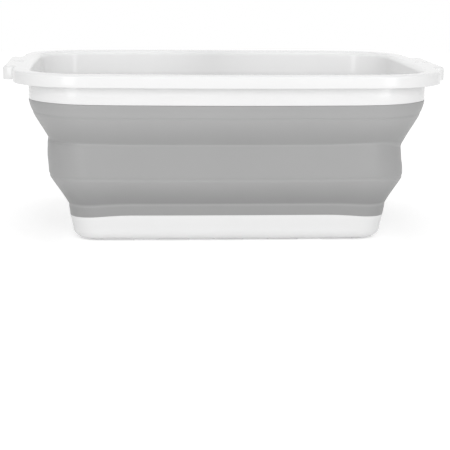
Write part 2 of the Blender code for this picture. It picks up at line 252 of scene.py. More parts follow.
@dataclass(frozen=True)
class Level:
    """How far from true a level of the wall is.

    Attributes:
        height: Its height in the middle of the long sides.
        left: How much it rises on its way to the -X side.
        right: How much it rises on its way to the +X side.
        begin: Share of the half length where it starts to.
        sway: How far it stands off centre towards +X.
        sag: How far its +X corners hang below that.
    """

    height: float
    left: float = 0.0
    right: float = 0.0
    begin: float = 0.62
    sway: float = 0.0
    sag: float = 0.0

    def towards(self, other: "Level", share: float) -> "Level":
        """Returns the level at a share of the way to another."""
        ends = zip(astuple(self), astuple(other))
        return Level(*(mix(start, stop, share) for start, stop in ends))


@dataclass(frozen=True)
class WallPlan:
    """How the basin's outer face is drawn from above, from the collar in and down to the base.

    The corners tighten, the bows flatten and the short ends step in less on the way, and everything
    further in is parallel. The soft wall isn't quite true: its seams rise or sink towards the short ends,
    and not by the same amount at both, and its bands stand a little off centre.

    Attributes:
        half_length: Half the collar's length.
        half_width: Half the collar's width.
        collar_corner: Radius of the collar's corners.
        collar_long_bow: How far the collar's long sides bow out.
        collar_short_bow: How far its short ends do.
        base_corner: Radius of the base's corners.
        base_long_bow: How far the base's long sides bow out.
        base_short_bow: How far its short ends do.
        base_end_gain: How much less the base's short ends have stepped in than its long sides.
        base_step: How far the base has stepped in from the collar.
        sag_begin: Share of the half length where the +X corners start to sag.
        levels: How far from true the wall is, from the foot up.
    """

    half_length: float = 0.1686
    half_width: float = 0.1275
    collar_corner: float = 0.0460
    collar_long_bow: float = 0.0045
    collar_short_bow: float = 0.0020
    base_corner: float = 0.0240
    base_long_bow: float = 0.0012
    base_short_bow: float = 0.0010
    base_end_gain: float = 0.0032
    base_step: float = 0.0360
    sag_begin: float = 0.84
    levels: tuple[Level, ...] = (
        Level(0.0, sway=0.0012),
        Level(0.0010, sway=0.0012),
        Level(0.0233, -0.0026, -0.0026, 0.62, 0.0012),
        Level(0.0326, -0.0024, -0.0020, 0.60, 0.0014),
        Level(0.0562, 0.0006, -0.0008, 0.76),
        Level(0.0640, 0.0007, 0.0, 0.68, -0.0003, 0.0012),
        Level(0.0711, 0.0008, 0.0006, 0.60, -0.0012, 0.0024),
        Level(0.0830, 0.0010, 0.0016, 0.47, -0.0015, 0.0043),
        Level(0.0853, 0.0010, 0.0018, 0.45, -0.0004, 0.0046),
        Level(0.1087, 0.0018, 0.0014, 0.76),
        Level(0.1198, 0.0012, 0.0012, 0.62),
        Level(0.1340),
        Level(0.1455))

    def outline(self, step: float) -> Outline:
        """Draws the outer face from above.

        Args:
            step: How far it has stepped in from the collar. Outlines outside the collar are parallel to
                the collar's, and outlines inside the base's to the base's.

        Returns:
            The outline.
        """
        if step < 0:
            return self.outline(0.0).inset(step)
        inside = min(step, self.base_step)
        share = inside / self.base_step
        half_length = self.half_length - inside + self.base_end_gain * share ** 2
        half_width = self.half_width - inside
        corner = mix(self.collar_corner, self.base_corner, share)
        long_bow = mix(self.collar_long_bow, self.base_long_bow, share)
        short_bow = mix(self.collar_short_bow, self.base_short_bow, share)
        return Outline(half_length, half_width, corner, self.radius(half_length - corner, long_bow),
                       self.radius(half_width - corner, short_bow)).inset(step - inside)

    @staticmethod
    def radius(half_chord: float, bow: float) -> float:
        """Returns the radius of an arc that bows out this far in the middle of its chord."""
        return (half_chord ** 2 + bow ** 2) / (2 * bow)

    def level(self, height: float) -> Level:
        """Finds how far from true the wall is.

        Args:
            height: Height above the table, with the basin opened out.

        Returns:
            The level at that height.
        """
        for low, high in zip(self.levels, self.levels[1:]):
            if low.height <= height <= high.height:
                return low.towards(high, (height - low.height) / (high.height - low.height))
        return Level(height)

    def ring(self, step: float, depth: float, height: float) -> list[Vector]:
        """Draws a ring round the basin, as far from true as the wall is at its height.

        Args:
            step: How far the outer face has stepped in from the collar.
            depth: How deep the ring lies inside that face.
            height: Its height in the middle of the long sides.

        Returns:
            Its points, counterclockwise from the +X side's middle.
        """
        outline = self.outline(step)
        level = self.level(height)
        ring = []
        for point in whole(outline.quarter()):
            share = point.place.x / outline.half_length
            out = smooth((abs(share) - level.begin) / (1 - level.begin))
            rise = out * (level.left if share < 0 else level.right)
            rise -= level.sag * smooth((share - self.sag_begin) / (1 - self.sag_begin))
            ring.append(point.at(depth, height + rise) + Vector((level.sway, 0, 0)))
        return ring


@dataclass(frozen=True)
class Heights:
    """Heights above the table, with the basin opened out.

    Attributes:
        foot: The tub's underside, which the feet carry.
        base_top: Where the base ends and the lower band begins.
        lower_crease: Where the lower band and the lower cone meet.
        lower_hinge: Where the lower cone and the middle band meet.
        upper_crease: Where the middle band and the upper cone meet.
        upper_hinge: Where the upper cone and the upper band meet.
        collar_bottom: Where the upper band ends and the rim's collar begins.
        rim_top: The flange's top.
    """

    foot: float = 0.0010
    base_top: float = 0.0233
    lower_crease: float = 0.0326
    lower_hinge: float = 0.0562
    upper_crease: float = 0.0853
    upper_hinge: float = 0.1087
    collar_bottom: float = 0.1198
    rim_top: float = 0.1455


class Moulding:
    """A mesh that grows ring by ring, by extruding the last ring and moving it to its place."""

    def __init__(self) -> None:
        """Starts with an empty mesh."""
        self.mesh = bmesh.new()

    def start(self, points: Sequence[Vector]) -> list[bmesh.types.BMVert]:
        """Starts a chain of rings.

        Args:
            points: Points of the first ring.

        Returns:
            A circle's corners, moved to the points.
        """
        ring = bmesh.ops.create_circle(self.mesh, cap_ends=False, radius=1.0, segments=len(points))["verts"]
        self.place(ring, points)
        return ring

    @staticmethod
    def place(ring: Sequence[bmesh.types.BMVert], points: Sequence[Vector]) -> None:
        """Moves each corner of a ring to its point."""
        for corner, point in zip(ring, points):
            corner.co = point

    def edges(self, ring: Sequence[bmesh.types.BMVert]) -> list[bmesh.types.BMEdge]:
        """Returns the edges round a ring."""
        return [self.mesh.edges.get((ring[place - 1], ring[place])) for place in range(len(ring))]

    def grow(self, rings: Sequence[Sequence[Vector]]) -> list[list[bmesh.types.BMVert]]:
        """Extrudes a chain of rings.

        Args:
            rings: Points of each ring, all with the same count.

        Returns:
            The corners of every ring, in the same order.
        """
        chain = [self.start(rings[0])]
        for points in rings[1:]:
            last = chain[-1]
            made = bmesh.ops.extrude_edge_only(self.mesh, edges=self.edges(last))["geom"]
            new = {item for item in made if isinstance(item, bmesh.types.BMVert)}
            ring = [next(far for far in (edge.other_vert(corner) for edge in corner.link_edges) if far in new)
                    for corner in last]
            self.place(ring, points)
            chain.append(ring)
        return chain

    def fill(self, rings: Sequence[Sequence[bmesh.types.BMVert]]) -> None:
        """Fills the flat face between an outer ring and the rings inside it."""
        edges = [edge for ring in rings for edge in self.edges(ring)]
        bmesh.ops.triangle_fill(self.mesh, use_beauty=True, edges=edges, normal=(0, 0, 1))

    def face_out(self) -> None:
        """Turns every face of the closed shells outwards."""
        bmesh.ops.recalc_face_normals(self.mesh, faces=self.mesh.faces)

    def finish(self, name: str, material: bpy.types.Material) -> bpy.types.Object:
        """Makes the object.

        Args:
            name: Name of the piece.
            material: Its finish.

        Returns:
            The object, at the origin, with smooth faces that meet in a sharp edge at a sharp turn.
        """
        data = bpy.data.meshes.new(name)
        self.mesh.to_mesh(data)
        self.mesh.free()
        data.shade_smooth()
        data.set_sharp_from_angle(angle=SHARP_TURN)
        data.materials.append(material)
        piece = bpy.data.objects.new(name, data)
        bpy.context.scene.collection.objects.link(piece)
        return piece


def rounding(depth: float, height: float, radius: float, start: float, stop: float,
             steps: int) -> list[tuple[float, float]]:
    """Makes a rounded edge in a moulding's section.

    Args:
        depth: Depth of the arc's centre.
        height: Height of the arc's centre.
        radius: Radius of the arc.
        start: First angle in degrees, from the inward direction towards up.
        stop: Last angle in degrees.
        steps: How many chords it is drawn in.

    Returns:
        Depths and heights.
    """
    turns = [math.radians(mix(start, stop, step / steps)) for step in range(steps + 1)]
    return [(depth + radius * math.cos(turn), height + radius * math.sin(turn)) for turn in turns]


def add_node(owner: bpy.types.ID, kind: str, settings: dict[str, object] | None = None,
             **links: bpy.types.NodeSocket) -> bpy.types.Node:
    """Adds a node, sets it and links it.

    Args:
        owner: Material or world that owns the tree.
        kind: Type name of the node.
        settings: Attributes by name, and socket values by "in:" and the socket's name.
        links: Socket names, with underscores for spaces, and what feeds each: a node's output socket.

    Returns:
        The node.
    """
    tree = owner.node_tree
    node = tree.nodes.new(kind)
    for key, value in (settings or {}).items():
        if key.startswith("in:"):
            node.inputs[key[3:]].default_value = value
        else:
            setattr(node, key, value)
    for key, source in links.items():
        tree.links.new(source, node.inputs[key.replace("_", " ")])
    return node


def new_material(name: str) -> bpy.types.Material:
    """Makes a material with an empty node tree.

    Args:
        name: Name of the material.

    Returns:
        The material.
    """
    material = bpy.data.materials.new(name)
    material.use_nodes = True
    material.node_tree.nodes.clear()
    return material


@dataclass(frozen=True)
class GlossyPolypropylene:
    """Polypropylene moulded in a polished tool: even, bright and glossy.

    Polished steel leaves it mirror-like with a faint orange peel, and handling adds fine hairlines,
    so its highlights are sharp but waver a little along their length.

    Attributes:
        name: Name of the material.
        colour: Colour of the clear resin.
        shade: Its colour where it is cloudy.
        ior: Its index of refraction.
        roughness: Its roughness between hairlines and on them.
        clouding_mm: How far apart the clouds lie.
        clouding_detail: How many finer patterns break them up.
        peel_mm: How far apart the waves of the orange peel lie.
        peel_detail: How many finer patterns break them up.
        peel_depth_mm: How deep they are.
        hairline_mm: How far apart the hairlines lie.
        hairline_detail: How many finer patterns break them up.
        hairline_depth_mm: How deep they are.
        hairline_slowing: How much slower the pattern changes along them than across.
        hairline_turn: How far they are turned from the basin's length.
        hairline_range: Values of the pattern between hairlines and on them.
    """

    name: str = "glossy_white_polypropylene"
    colour: str = "F4F4F4"
    shade: str = "EFEFEF"
    ior: float = 1.49
    roughness: tuple[float, float] = (0.09, 0.16)
    clouding_mm: float = 90.0
    clouding_detail: float = 2.0
    peel_mm: float = 7.0
    peel_detail: float = 1.5
    peel_depth_mm: float = 0.010
    hairline_mm: float = 0.9
    hairline_detail: float = 1.0
    hairline_depth_mm: float = 0.0015
    hairline_slowing: float = 0.12
    hairline_turn: float = math.radians(23)
    hairline_range: tuple[float, float] = (0.3, 0.7)

    def make(self) -> bpy.types.Material:
        """Builds the material.

        Returns:
            The material, whose patterns follow Object coordinates.
        """
        material = new_material(self.name)
        place = add_node(material, "ShaderNodeTexCoord").outputs["Object"]
        clouds = add_node(material, "ShaderNodeTexNoise",
                          {"in:Scale": 1 / (self.clouding_mm * MM), "in:Detail": self.clouding_detail},
                          Vector=place)
        tint = add_node(material, "ShaderNodeMix",
                        {"data_type": "RGBA", "in:A": linear(self.colour), "in:B": linear(self.shade)},
                        Factor=clouds.outputs["Fac"])
        stretch = add_node(material, "ShaderNodeMapping",
                           {"in:Scale": (self.hairline_slowing, 1.0, 1.0),
                            "in:Rotation": (0.0, 0.0, self.hairline_turn)}, Vector=place)
        # Real hairlines are about 0.05 mm wide; they are drawn coarser so that they show in the render
        hairlines = add_node(material, "ShaderNodeTexNoise",
                             {"in:Scale": 1 / (self.hairline_mm * MM), "in:Detail": self.hairline_detail},
                             Vector=stretch.outputs["Vector"])
        wear = add_node(material, "ShaderNodeMapRange",
                        {"in:From Min": self.hairline_range[0], "in:From Max": self.hairline_range[1],
                         "in:To Min": self.roughness[0], "in:To Max": self.roughness[1]},
                        Value=hairlines.outputs["Fac"])
        peel = add_node(material, "ShaderNodeTexNoise",
                        {"in:Scale": 1 / (self.peel_mm * MM), "in:Detail": self.peel_detail}, Vector=place)
        waves = add_node(material, "ShaderNodeBump", {"in:Distance": self.peel_depth_mm * MM},
                         Height=peel.outputs["Fac"])
        lines = add_node(material, "ShaderNodeBump", {"in:Distance": self.hairline_depth_mm * MM},
                         Height=hairlines.outputs["Fac"], Normal=waves.outputs["Normal"])
        shader = add_node(material, "ShaderNodeBsdfPrincipled", {"in:IOR": self.ior, "in:Metallic": 0.0},
                          Base_Color=tint.outputs["Result"], Roughness=wear.outputs["Result"],
                          Normal=lines.outputs["Normal"])
        add_node(material, "ShaderNodeOutputMaterial", Surface=shader.outputs["BSDF"])
        return material


@dataclass(frozen=True)
class SatinElastomer:
    """Thermoplastic elastomer moulded in a spark-eroded tool: soft, opaque and satin.

    The eroded steel leaves a fine even grain, which spreads highlights into a broad sheen. The rubber darkens
    a little where it is thin and bends, and painted shade darkens it more, most towards the foot of each
    cone.

    Attributes:
        name: Name of the material.
        colour: Colour of the plain rubber.
        shade: Its colour where it is cloudy.
        bent_colour: Its colour at a hinge.
        painted_shade_colour: Its colour where shade is painted fully into it.
        ior: Its index of refraction.
        roughness: Its roughness where it is plain and where it is cloudy.
        clouding_mm: How far apart the clouds lie.
        clouding_detail: How many finer patterns break them up.
        grain_mm: How far apart the grains lie.
        grain_detail: How many finer patterns break them up.
        grain_harshness: How strong each finer pattern is beside the one before it.
        grain_depth_mm: How deep the grain is.
    """

    name: str = "satin_grey_elastomer"
    colour: str = "B0B0B0"
    shade: str = "ABABAB"
    bent_colour: str = "A8A8A8"
    # The rubber's colour where shade is painted fully into it
    painted_shade_colour: str = "969696"
    ior: float = 1.51
    roughness: tuple[float, float] = (0.40, 0.52)
    clouding_mm: float = 55.0
    clouding_detail: float = 3.0
    grain_mm: float = 0.55
    grain_detail: float = 2.0
    grain_harshness: float = 0.6
    grain_depth_mm: float = 0.012

    def make(self) -> bpy.types.Material:
        """Builds the material.

        Returns:
            The material, whose patterns follow Object coordinates and the piece's own attributes.
        """
        material = new_material(self.name)
        place = add_node(material, "ShaderNodeTexCoord").outputs["Object"]
        clouds = add_node(material, "ShaderNodeTexNoise",
                          {"in:Scale": 1 / (self.clouding_mm * MM), "in:Detail": self.clouding_detail},
                          Vector=place)
        tint = add_node(material, "ShaderNodeMix",
                        {"data_type": "RGBA", "in:A": linear(self.colour), "in:B": linear(self.shade)},
                        Factor=clouds.outputs["Fac"])
        # Painted shade darkens the rubber towards the foot of each cone, and thin hinges darken it a little
        for mark, colour in ((Mark.GRIME, self.painted_shade_colour), (Mark.BEND, self.bent_colour)):
            amount = add_node(material, "ShaderNodeAttribute", {"attribute_name": mark.value})
            tint = add_node(material, "ShaderNodeMix", {"data_type": "RGBA", "in:B": linear(colour)},
                            A=tint.outputs["Result"], Factor=amount.outputs["Fac"])
        # The eroded grain is about 0.1 mm across; it is drawn coarser so that it shows in the render
        grain = add_node(material, "ShaderNodeTexNoise",
                         {"in:Scale": 1 / (self.grain_mm * MM), "in:Detail": self.grain_detail,
                          "in:Roughness": self.grain_harshness}, Vector=place)
        bump = add_node(material, "ShaderNodeBump", {"in:Distance": self.grain_depth_mm * MM},
                        Height=grain.outputs["Fac"])
        sheen = add_node(material, "ShaderNodeMapRange",
                         {"in:To Min": self.roughness[0], "in:To Max": self.roughness[1]},
                         Value=clouds.outputs["Fac"])
        shader = add_node(material, "ShaderNodeBsdfPrincipled", {"in:IOR": self.ior, "in:Metallic": 0.0},
                          Base_Color=tint.outputs["Result"], Roughness=sheen.outputs["Result"],
                          Normal=bump.outputs["Normal"])
        add_node(material, "ShaderNodeOutputMaterial", Surface=shader.outputs["BSDF"])
        return material


@dataclass
class Rim:
    """White rim: collar, flange with a skirt that turns down, and an ear at each short end.

    Attributes:
        plan: How the basin is drawn from above.
        heights: Heights of its seams and hinges.
        overhang: How far the flange reaches past the collar.
        skirt_depth: How far the skirt turns down.
        edge_radius: Radius between the flange's top and the skirt.
        lip_radius: Radius between the flange's top and the collar's inside.
        plate: Thickness of the flange.
        skirt_wall: Thickness of the skirt.
        collar_wall: Thickness of the collar.
        collar_draft: How much thicker the collar is at its bottom.
        under_fillet: Radius of the corners under the flange.
        small_edge: Radius of the other edges.
        flat_margin: How far a flat face's own ring lies from the rounded edge beside it.
        ear_step: How far the ears reach past the flange.
        ear_half_width: Half an ear's width.
        ear_corner: Radius of an ear's corners.
        ear_fillet: Radius between an ear and the flange.
        ear_skirt_depth: How far the skirt turns down at the ears.
        hole_inset: How far a hang hole's middle lies inside its ear's end.
        hole_length: Length of a hang hole, along the basin.
        hole_width: Its width.
        seam: Half the gap to the wall.
        edge_steps: How many chords the skirt's and the ears' round corners are drawn in.
        lip_steps: The same for the lip.
        small_steps: The same for the small edges.
        fillet_steps: The same for the corners under the flange.
        ear_steps: The same for half an ear's end and for its fillets.
        hole_steps: The same for each round end of a hang hole.
    """

    plan: WallPlan
    heights: Heights
    overhang: float = 0.0129
    skirt_depth: float = 0.0103
    edge_radius: float = 0.0024
    lip_radius: float = 0.0048
    plate: float = 0.0022
    skirt_wall: float = 0.0022
    collar_wall: float = 0.0023
    collar_draft: float = 0.0021
    under_fillet: float = 0.0012
    small_edge: float = 0.0004
    flat_margin: float = 0.0006
    ear_step: float = 0.0085
    ear_half_width: float = 0.0520
    ear_corner: float = 0.0050
    ear_fillet: float = 0.0025
    ear_skirt_depth: float = 0.0115
    hole_inset: float = 0.0100
    hole_length: float = 0.0110
    hole_width: float = 0.0076
    seam: float = 0.0002
    edge_steps: int = 8
    lip_steps: int = 9
    small_steps: int = 3
    fillet_steps: int = 4
    ear_steps: int = 6
    hole_steps: int = 14

    def ear_tip(self) -> float:
        """Returns how far the ears reach from the middle."""
        return self.plan.half_length + self.overhang + self.ear_step

    def edge(self) -> list[EdgePoint]:
        """Draws the outer edge from above: the flange, with an ear at the middle of each short side.

        Returns:
            Points all round, with their share of the ears' deeper skirt.
        """
        flange = self.plan.outline(0.0).inset(-self.overhang)
        round_centre = flange.short_centre()
        reach = flange.short_radius + self.ear_fillet
        rise = self.ear_half_width + self.ear_fillet
        fillet = Vector((round_centre.x + math.sqrt(reach ** 2 - rise ** 2), rise))
        turn = math.atan2(rise, fillet.x - round_centre.x)
        corner = Vector((self.ear_tip() - self.ear_corner, self.ear_half_width - self.ear_corner))
        points = [EdgePoint(Vector((self.ear_tip(), corner.y * step / self.ear_steps)), Vector((1, 0)), 1.0)
                  for step in range(self.ear_steps)]
        points += edge_arc(corner, self.ear_corner, 0, math.pi / 2, self.edge_steps, ears=(1.0, 1.0))
        points += edge_arc(fillet, self.ear_fillet, -math.pi / 2, turn - math.pi, self.ear_steps,
                           ears=(1.0, 0.0), hollow=True)
        return whole(points + flange.quarter(turn)[1:])

    def skirt_rings(self) -> list[list[Vector]]:
        """Draws the flange's edge, from its flat top round the skirt to its underside.

        Returns:
            Its rings, each as low at the ears as their deeper skirt asks.
        """
        top = self.heights.rim_top
        under = top - self.plate
        upper = [(self.edge_radius + self.flat_margin, 0.0)]
        upper += rounding(self.edge_radius, -self.edge_radius, self.edge_radius, 90, 180, self.edge_steps)
        section = [(depth, top + height, 0.0) for depth, height in upper]
        small = self.small_edge
        lower = [(0.0, small)] + rounding(small, small, small, 180, 270, self.small_steps)[1:]
        lower += rounding(self.skirt_wall - small, small, small, 270, 360, self.small_steps)
        section += [(depth, -self.skirt_depth + height + top, 1.0) for depth, height in lower]
        inner = self.skirt_wall + self.under_fillet
        section += [(depth, height, 0.0) for depth, height in
                    rounding(inner, under - self.under_fillet, self.under_fillet, 180, 90, self.fillet_steps)]
        section.append((inner + self.flat_margin, under, 0.0))
        drop = self.skirt_depth - self.ear_skirt_depth
        edge = self.edge()
        return [[point.at(depth, height + low * drop * point.ear) for point in edge]
                for depth, height, low in section]

    def collar_rings(self) -> list[list[Vector]]:
        """Draws the collar, from the flange's flat top down inside and up outside to its underside.

        Returns:
            Its rings.
        """
        top = self.heights.rim_top
        bottom = self.heights.collar_bottom + self.seam
        small = self.small_edge
        lip = self.lip_radius
        section = [(self.collar_wall - lip - self.flat_margin, top)]
        section += rounding(self.collar_wall - lip, top - lip, lip, 90, 0, self.lip_steps)
        section += [(self.collar_wall + self.collar_draft * share, mix(top - lip, bottom, share))
                    for share in SUPPORTS]
        section += rounding(self.collar_wall + self.collar_draft - small, bottom + small, small, 0, -90,
                            self.small_steps)
        section += rounding(small, bottom + small, small, -90, -180, self.small_steps)
        section.append((0.0, mix(top, bottom, 0.5)))
        under = top - self.plate
        section += rounding(-self.under_fillet, under - self.under_fillet, self.under_fillet, 0, 90,
                            self.fillet_steps)
        section.append((-self.under_fillet - self.flat_margin, under))
        return [self.plan.ring(0.0, depth, height) for depth, height in section]

    def hole_rings(self, side: int) -> list[list[Vector]]:
        """Draws one ear's hang hole, from the ear's top down to its underside.

        Args:
            side: One for the +X ear and minus one for the other.

        Returns:
            Its rings.
        """
        radius = self.hole_width / 2
        offset = self.hole_length / 2 - radius
        centre = side * (self.ear_tip() - self.hole_inset)
        edge = []
        for shift, start in ((offset, -math.pi / 2), (-offset, math.pi / 2)):
            edge += edge_arc(Vector((centre + shift, 0)), radius, start, start + math.pi, self.hole_steps,
                             hollow=True)
        top = self.heights.rim_top
        under = top - self.plate
        small = self.small_edge
        section = [(small + self.flat_margin, top)]
        section += rounding(small, top - small, small, 90, 180, self.small_steps)
        section += rounding(small, under + small, small, 180, 270, self.small_steps)
        section.append((small + self.flat_margin, under))
        return [[point.at(depth, height) for point in edge] for depth, height in section]

    def build(self, finish: bpy.types.Material) -> bpy.types.Object:
        """Models and dresses the rim.

        Args:
            finish: Its material.

        Returns:
            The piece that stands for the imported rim.
        """
        moulding = Moulding()
        skirt = moulding.grow(self.skirt_rings())
        collar = moulding.grow(self.collar_rings())
        holes = [moulding.grow(self.hole_rings(side)) for side in (-1, 1)]
        moulding.fill([skirt[0], collar[0], *(hole[0] for hole in holes)])
        moulding.fill([skirt[-1], collar[-1], *(hole[-1] for hole in holes)])
        moulding.face_out()
        piece = moulding.finish("rim", finish)
        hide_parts("rim_frame")
        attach(piece, Body.RIM.value)
        return piece


@dataclass(frozen=True)
class SectionPoint:
    """A point of the wall's section.

    Attributes:
        step: How far its outer face has stepped in.
        height: Its height.
        wall: The wall's thickness there.
        groove: How deep a hinge's outer groove is there.
        painted_shade: How much shade is painted into its colour there.
    """

    step: float
    height: float
    wall: float
    groove: float = 0.0
    painted_shade: float = 0.0


@dataclass(frozen=True)
class WallZone:
    """One zone of the wall between two hinges or seams, drawn as a curve with two handles.

    Attributes:
        handles: Step and height of both handles, as shares of the zone's own run and fall.
        wall: Thickness between its ends.
        points: How many points the curve is drawn in.
        painted_shade: How much shade is painted into its colour at its top and at its bottom.
        hinge_reach: How far the thinning at an end reaches.
        groove_reach: How far an outer groove reaches from the hinge's middle.
    """

    handles: tuple[tuple[float, float], tuple[float, float]]
    wall: float
    points: int
    painted_shade: tuple[float, float]
    hinge_reach: float = 0.0026
    groove_reach: float = 0.0017

    def curve(self, start: SectionPoint, stop: SectionPoint) -> list[SectionPoint]:
        """Draws the zone from one station to the next.

        Args:
            start: Station at its top.
            stop: Station at its bottom.

        Returns:
            Points of the outer face, both stations included.
        """
        ends = [Vector((station.step, station.height, 0)) for station in (start, stop)]
        grips = [Vector((mix(start.step, stop.step, run), mix(start.height, stop.height, fall), 0))
                 for run, fall in self.handles]
        points = []
        for spot in interpolate_bezier(ends[0], grips[0], grips[1], ends[1], self.points):
            wall = self.wall
            groove = 0.0
            for end, station in zip(ends, (start, stop)):
                away = (spot - end).length
                wall += (station.wall - self.wall) * (1 - smooth(away / self.hinge_reach))
                groove += station.groove * (1 - smooth(away / self.groove_reach))
            # How much shade is painted into the colour here, eased from the zone's top to its bottom
            down = (start.height - spot.y) / (start.height - stop.height)
            points.append(SectionPoint(spot.x + groove, spot.y, wall, groove, mix(*self.painted_shade, smooth(down))))
        return points


@dataclass
class Wall:
    """Grey folding wall: three stiff bands joined by two cones that turn inside out.

    It is one moulding; here it is two halves that meet in the middle of the middle band, because
    a piece can bend between two bodies only.

    Attributes:
        plan: How the basin is drawn from above.
        heights: Heights of its seams and hinges.
        upper_hinge_step: How far the upper hinge has stepped in from the collar.
        upper_crease_step: How far the upper crease has.
        lower_hinge_step: How far the lower hinge has.
        lower_crease_step: How far the lower crease has.
        joint_wall: Thickness at the joints with the rim and the base.
        hinge_wall: Thickness at the hinges and creases.
        cone_wall: Thickness of the cones.
        seam: Half the gap to the rim and to the base.
        upper_groove: Depth of the upper hinge's outer groove.
        lower_groove: Depth of the lower hinge's outer groove.
        upper_start: Height up to which the upper half rides on the middle ring. Not used.
        upper_follow: Height from which it rides on the rim. Not used.
        lower_follow: Height from which the lower half rides on the middle ring. Not used.
        least_mitre: Cosine of half the sharpest bend at which the middle line still follows the mitre.
        zones: The upper band, the upper cone, the middle band, the lower cone and the lower band.
    """

    plan: WallPlan
    heights: Heights
    upper_hinge_step: float = 0.0032
    upper_crease_step: float = 0.0181
    lower_hinge_step: float = 0.0171
    lower_crease_step: float = 0.0346
    joint_wall: float = 0.0031
    hinge_wall: float = 0.0013
    cone_wall: float = 0.0018
    seam: float = 0.0001
    upper_groove: float = 0.0002
    lower_groove: float = 0.0006
    upper_start: float = 0.0862
    upper_follow: float = 0.1113
    lower_follow: float = 0.0569
    least_mitre: float = 0.6
    zones: tuple[WallZone, ...] = (
        # The last pair of each zone is the shade painted into its colour at its top and its bottom
        WallZone(((0.10, 0.35), (0.60, 0.75)), 0.0024, 18, (0.22, 0.00)),
        WallZone(((0.06, 0.16), (0.62, 0.60)), 0.0018, 40, (0.00, 0.55)),
        WallZone(((0.55, 0.03), (1.60, 0.70)), 0.0024, 40, (0.40, 0.35)),
        WallZone(((0.06, 0.17), (0.62, 0.58)), 0.0018, 40, (0.10, 1.00)),
        WallZone(((-0.10, 0.08), (0.60, 0.60)), 0.0024, 16, (0.60, 0.60)))

    def outer_face(self) -> list[list[SectionPoint]]:
        """Draws the outer face from the collar down to the base.

        Returns:
            The points of each zone, with the station between two zones in both.
        """
        heights = self.heights
        stations = [
            SectionPoint(0.0, heights.collar_bottom - self.seam, self.joint_wall),
            SectionPoint(self.upper_hinge_step, heights.upper_hinge, self.hinge_wall, self.upper_groove),
            SectionPoint(self.upper_crease_step, heights.upper_crease, self.hinge_wall),
            SectionPoint(self.lower_hinge_step, heights.lower_hinge, self.hinge_wall, self.lower_groove),
            SectionPoint(self.lower_crease_step, heights.lower_crease, self.hinge_wall),
            SectionPoint(self.plan.base_step, heights.base_top + self.seam, self.joint_wall),
        ]
        return [zone.curve(start, stop) for zone, start, stop in zip(self.zones, stations, stations[1:])]

    def middle_line(self, points: Sequence[SectionPoint]) -> list[SectionPoint]:
        """Moves the outer face's points half a thickness in, along the mitre at each point.

        Args:
            points: Points of the outer face.

        Returns:
            Points of the line in the middle of the wall.
        """
        middle = []
        for place, point in enumerate(points):
            before = points[max(place - 1, 0)]
            after = points[min(place + 1, len(points) - 1)]
            ways = [Vector((stop.step - start.step, stop.height - start.height)).normalized()
                    for start, stop in ((before, point), (point, after)) if start is not stop]
            inward = [Vector((-way.y, way.x)) for way in ways]
            mitre = sum(inward, Vector((0, 0))).normalized()
            depth = point.wall / 2 / max(mitre.dot(inward[0]), self.least_mitre)
            middle.append(replace(point, step=point.step + mitre.x * depth,
                                  height=point.height + mitre.y * depth))
        return middle

    def half(self, name: str, line: Sequence[SectionPoint], finish: bpy.types.Material) -> bpy.types.Object:
        """Models one half of the wall.

        Args:
            name: Name of the piece.
            line: Middle line of its section, from the top down.
            finish: Its material.

        Returns:
            A single layer with a live Solidify that gives each point its thickness.
        """
        moulding = Moulding()
        chain = moulding.grow([self.plan.ring(point.step, 0.0, point.height) for point in line])
        corner = chain[0][0]
        face = corner.link_faces[0]
        face.normal_update()
        if face.normal.dot(Vector((corner.co.x, corner.co.y, 0))) < 0:
            bmesh.ops.reverse_faces(moulding.mesh, faces=moulding.mesh.faces)
        moulding.mesh.verts.index_update()
        moulding.mesh.edges.index_update()
        carried = {corner.index: point for ring, point in zip(chain, line) for corner in ring}
        points = [carried[index] for index in sorted(carried)]
        open_edges = {edge.index for edge in moulding.mesh.edges if edge.is_boundary}
        piece = moulding.finish(name, finish)
        thickest = max(point.wall for point in line)
        # The group is filled before the attributes are added, because Blender has crashed otherwise
        thickness = piece.vertex_groups.new(name="thickness")
        for index, point in enumerate(points):
            thickness.add([index], point.wall / thickest, "REPLACE")
        thinning = self.cone_wall - self.hinge_wall
        bent = [1 - smooth((point.wall - self.hinge_wall) / thinning) for point in points]
        # Shade painted into the colour at each point
        painted_shade = [point.painted_shade for point in points]
        for mark, values in ((Mark.BEND, bent), (Mark.GRIME, painted_shade)):
            piece.data.attributes.new(mark.value, "FLOAT", "POINT").data.foreach_set("value", values)
        for edge in piece.data.edges:
            edge.use_edge_sharp = edge.index in open_edges
        solidify = piece.modifiers.new("wall thickness", "SOLIDIFY")
        solidify.thickness = thickest
        solidify.offset = 0.0
        # An even offset would throw spikes where the folded wall doubles back on itself
        solidify.use_even_offset = False
        solidify.use_quality_normals = True
        solidify.vertex_group = thickness.name
        return piece

    def build(self, finish: bpy.types.Material) -> list[bpy.types.Object]:
        """Models and dresses both halves.

        Args:
            finish: Their material.

        Returns:
            The upper and the lower half.
        """
        zones = self.outer_face()
        points = [point for zone in zones for point in zone[:-1]] + [zones[-1][-1]]
        line = self.middle_line(points)
        split = sum(len(zone) - 1 for zone in zones[:2]) + len(zones[2]) // 2
        upper = self.half("wall_upper_half", line[:split + 1], finish)
        lower = self.half("wall_lower_half", line[split:], finish)
        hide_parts("wall_upper_band", "upper_fold", "wall_middle_band")
        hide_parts("lower_fold", "wall_lower_band")
        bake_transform(upper)
        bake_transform(lower)
        return [upper, lower]


